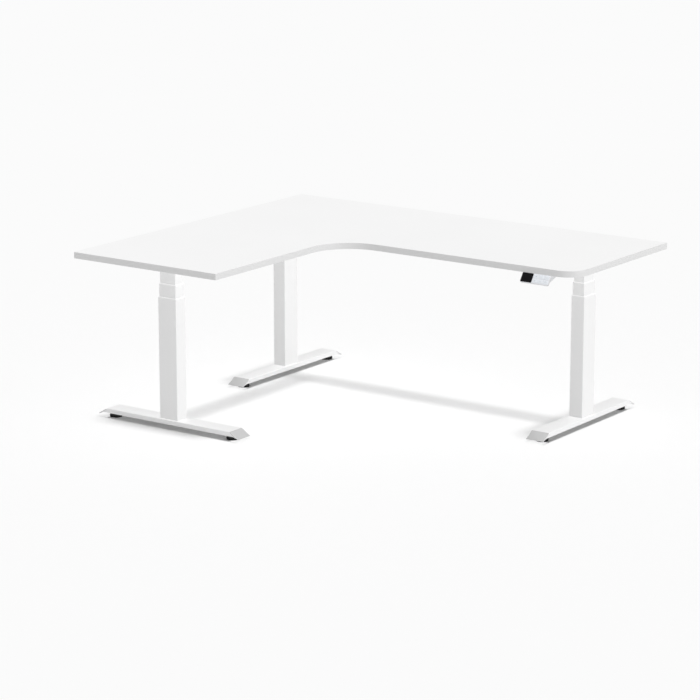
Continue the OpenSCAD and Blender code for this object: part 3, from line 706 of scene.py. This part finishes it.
def legs():
    """Feet, glides, column tubes and their collars."""
    for leg in LEGS:
        foot(leg)
        for end in ("front", "rear"):
            foot_glide(leg, end)
        column_tube(leg + "_outer_tube", floor=True)
        column_tube(leg + "_middle_tube")
        column_tube(leg + "_inner_tube")
        node = leg + "_middle_collar"
        keep(collar(leg + "_middle_tube"), node + "_moulded", "collar_plastic", BODY_OF[node], node)
    outer = join([collar(leg + "_outer_tube") for leg in LEGS])
    keep(outer, "outer_collars_moulded", "collar_plastic", "base", "outer_collars")


# ------------------------------------------------------------------ handset

FACE_TILT = math.radians(56)
FACE_H = 41 * MM
FACE_DEEP = 9 * MM
FACE_CORNER_R = 5 * MM
WINDOW_W = 50 * MM
WINDOW_MARGIN = 1 * MM
WINDOW_R = 4 * MM
WINDOW_DEEP = 1.6 * MM
WINDOW_PROUD = 0.3 * MM
WINDOW_GAP = 0.1 * MM
CLEAR = 2 * MM
KEY_WEB = 1.4 * MM
KEY_GAP = 0.3 * MM
KEY_R = 2 * MM
KEY_PROUD = 0.5 * MM
KEY_DEEP = 2.5 * MM
KEY_WELL = 3.5 * MM
KEY_ARRIS = 0.4 * MM
KEYPAD_MARGIN = 3 * MM
MARK_LIFT = 0.15 * MM
TRIANGLE_R = 3.2 * MM
TRIANGLE_EASE = 0.4 * MM
RING_R = 2.6 * MM
RING_W = 0.7 * MM
DOT_R = 0.95 * MM
DOT_PITCH = 3.4 * MM
TRAY_ARRIS = 1 * MM
BODY_REAR_H = 14.5 * MM
BODY_ARRIS = 1.5 * MM


def face_frame():
    """The handset's face: X to the right, Y up the slope, Z out of it, from the face's middle."""
    low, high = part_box("handset_housing")
    top = Vector(((low.x + high.x) / 2, low.y + FACE_H * math.cos(FACE_TILT), high.z))
    turn = Matrix.Rotation(FACE_TILT, 4, "X")
    return Matrix.Translation(top) @ turn @ Matrix.Translation((0, -FACE_H / 2, 0)), high.x - low.x


def rounded_plate(x0, x1, y0, y1, z0, z1, radius, arris=0.0):
    """A plate with rounded corners and an eased front edge, in the face's own frame."""
    flat((x0, y0), (x1, y1), z0)
    round_corners(radius, 8)
    thicken(z1 - z0)
    if arris:
        soften(arris, 3, lambda e: sharp(60)(e) and min(v.co.z for v in e.verts) > z1 - 1e-6)
    return close_edit()


def on_face(piece, matrix):
    """Moves a piece from the face's own frame to its place."""
    select_only([piece])
    piece.matrix_world = matrix
    bpy.ops.object.transform_apply(location=True, rotation=True, scale=True)
    return piece


def key_marks(key, x, y, z):
    """Raised marks that say what a key does: a triangle, one to three dots, or a ring."""
    lift = MARK_LIFT
    if key in ("up_key", "down_key"):
        turn = math.radians(90 if key == "up_key" else -90)
        begin(bpy.ops.mesh.primitive_cylinder_add, vertices=3, radius=TRIANGLE_R, depth=lift * 2,
              location=(x, y, z), rotation=(0, 0, turn - math.radians(90)))
        soften(TRIANGLE_EASE, 2, lambda e: abs(e.verts[0].co.z - e.verts[1].co.z) > lift)
        return [close_edit()]
    if key == "memory_key":
        begin(bpy.ops.mesh.primitive_cylinder_add, vertices=32, radius=RING_R, depth=lift * 2,
              location=(x, y, z))
        pick("FACE", lambda face: abs(face.normal.z) > 0.9)
        bpy.ops.mesh.inset(thickness=RING_W)
        bpy.ops.mesh.bridge_edge_loops()
        return [close_edit()]
    count = {"preset_one_key": 1, "preset_two_key": 2, "preset_three_key": 3}[key]
    dot = [(DOT_R, 0), (DOT_R, lift * 1.5), (DOT_R - 0.25 * MM, lift * 2)]
    return [turned((x + (i - (count - 1) / 2) * DOT_PITCH, y, z - lift), dot, 20) for i in range(count)]


def handset():
    """Shell, window and six keys, on a face that leans back under the board's front edge."""
    matrix, width = face_frame()
    half, tall = width / 2, FACE_H / 2
    window_left = -half + WINDOW_MARGIN
    window_right = window_left + WINDOW_W
    window_top = tall - WINDOW_MARGIN
    pad_left = window_right + WINDOW_MARGIN + KEY_WEB
    key_w = (half - KEYPAD_MARGIN - pad_left - 2 * KEY_WEB) / 3
    key_h = (FACE_H - 2 * KEYPAD_MARGIN - KEY_WEB) / 2

    cells = {}
    for number, key in enumerate(KEYS):
        column, row = divmod(number, 2)
        x0 = pad_left + column * (key_w + KEY_WEB)
        y0 = -tall + KEYPAD_MARGIN + (1 - row) * (key_h + KEY_WEB)
        cells[key] = (x0, x0 + key_w, y0, y0 + key_h)

    tray = rounded_plate(-half, half, -tall, tall, -FACE_DEEP, 0, FACE_CORNER_R, TRAY_ARRIS)
    cutters = [rounded_plate(window_left, window_right, -window_top, window_top,
                             -WINDOW_DEEP, CLEAR, WINDOW_R)]
    cutters += [rounded_plate(*cells[key], -KEY_WELL, CLEAR, KEY_R) for key in KEYS]
    cut(tray, cutters)
    tray.data.materials.clear()
    tray.data.materials.append(MATERIALS["handset_plastic"])
    tray.data.materials.append(MATERIALS["handset_painted_shade_grey"])
    # Tray faces behind the front arris take the grey of painted shade.
    for face in tray.data.polygons:
        face.material_index = 1 if face.center.z < -TRAY_ARRIS else 0
    on_face(tray, matrix)

    low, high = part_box("handset_housing")
    body_half = half - FACE_CORNER_R
    centre_x = (low.x + high.x) / 2
    back_low = high.z - BODY_REAR_H
    block((centre_x - body_half, low.y, low.z), (centre_x + body_half, high.y, high.z))
    edge_top = matrix @ Vector((0, tall - 5 * MM, -FACE_DEEP + MM))
    edge_low = matrix @ Vector((0, -tall + 3 * MM, -FACE_DEEP + MM))
    corners = (
        (lambda v: v.co.y < low.y + MM and v.co.z > high.z - MM, (edge_top.y, high.z)),
        (lambda v: v.co.y < low.y + MM and v.co.z < low.z + MM, (edge_low.y, edge_low.z)),
        (lambda v: v.co.y > high.y - MM and v.co.z < low.z + MM, (high.y, back_low)),
    )
    for test, (goal_y, goal_z) in corners:
        pick("VERT", test)
        shape = bmesh.from_edit_mesh(bpy.context.object.data)
        start = next(v.co.copy() for v in shape.verts if v.select)
        bpy.ops.transform.translate(value=(0, goal_y - start.y, goal_z - start.z))
    soften(BODY_ARRIS, 3, lambda e: sharp(40)(e) and min(v.co.z for v in e.verts) < high.z - 2 * MM)
    body = close_edit()
    # The body behind the face is all in the grey of painted shade.
    body.data.materials.append(MATERIALS["handset_painted_shade_grey"])
    keep(join([tray, body]), "handset_shell", "handset_plastic", "top", "handset_housing", painted=True)

    glass = rounded_plate(window_left + WINDOW_GAP, window_right - WINDOW_GAP,
                          -window_top + WINDOW_GAP, window_top - WINDOW_GAP,
                          -WINDOW_DEEP, WINDOW_PROUD, WINDOW_R, WINDOW_PROUD)
    keep(on_face(glass, matrix), "handset_window", "display_window", "top", "handset_display")

    for key in KEYS:
        x0, x1, y0, y1 = cells[key]
        cap = rounded_plate(x0 + KEY_GAP, x1 - KEY_GAP, y0 + KEY_GAP, y1 - KEY_GAP,
                            -KEY_DEEP, KEY_PROUD, KEY_R, KEY_ARRIS)
        cap.data.materials.append(MATERIALS["key_plastic"])
        marks = key_marks(key, (x0 + x1) / 2, (y0 + y1) / 2, KEY_PROUD)
        for mark in marks:
            mark.data.materials.append(MATERIALS["key_print"])
        piece = join([cap] + marks)
        keep(on_face(piece, matrix), key + "_cap", "key_plastic", key, key, painted=True)


# ------------------------------------------------------------------ the desk

desktop()
legs()
handset()
for node in [leg + part for leg in LEGS for part in ("_motor_housing", "_support_arm")]:
    softened(node, 0.8 * MM)
for node in ("main_beam_tube", "main_beam_slider", "return_beam_tube", "return_beam_slider"):
    softened(node, 0.5 * MM)
softened("control_box", 1.0 * MM)
softened("mains_inlet", 0.5 * MM)
softened("cable_clips", 0.6 * MM)
softened("control_leads", 0, smooth=60)
for node in ("foot_bolts", "frame_bolts", "board_screws"):
    softened(node, 0.35 * MM)

for node, piece in frame["nodes"].items():
    piece.data.materials.clear()
    piece.data.materials.append(MATERIALS[SLOT_OF[node]])

studio_camera()
studio_world(0.40)
floor = studio_floor()
throws_shadow = ("_foot_shell", "_section", "_support_arm_finished", "_motor_housing_finished",
                 "_beam_tube_finished", "_beam_slider_finished")
beams_and_legs = [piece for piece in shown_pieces() if piece.name.endswith(throws_shadow)]
studio_sun("top_light", (0, 0, -1), 0.64, 40, but=[floor])
studio_sun("side_light", (-1, 0, -0.1), 0.34, 40, but=[floor])
studio_sun("front_light", (0, 1, -0.1), 0.02, 40, but=[floor])
studio_sun("floor_light", (-0.09, -0.03, -1), 0.64, 12, casters=beams_and_legs, only=[floor])
bpy.context.scene.view_settings.view_transform = "Standard"
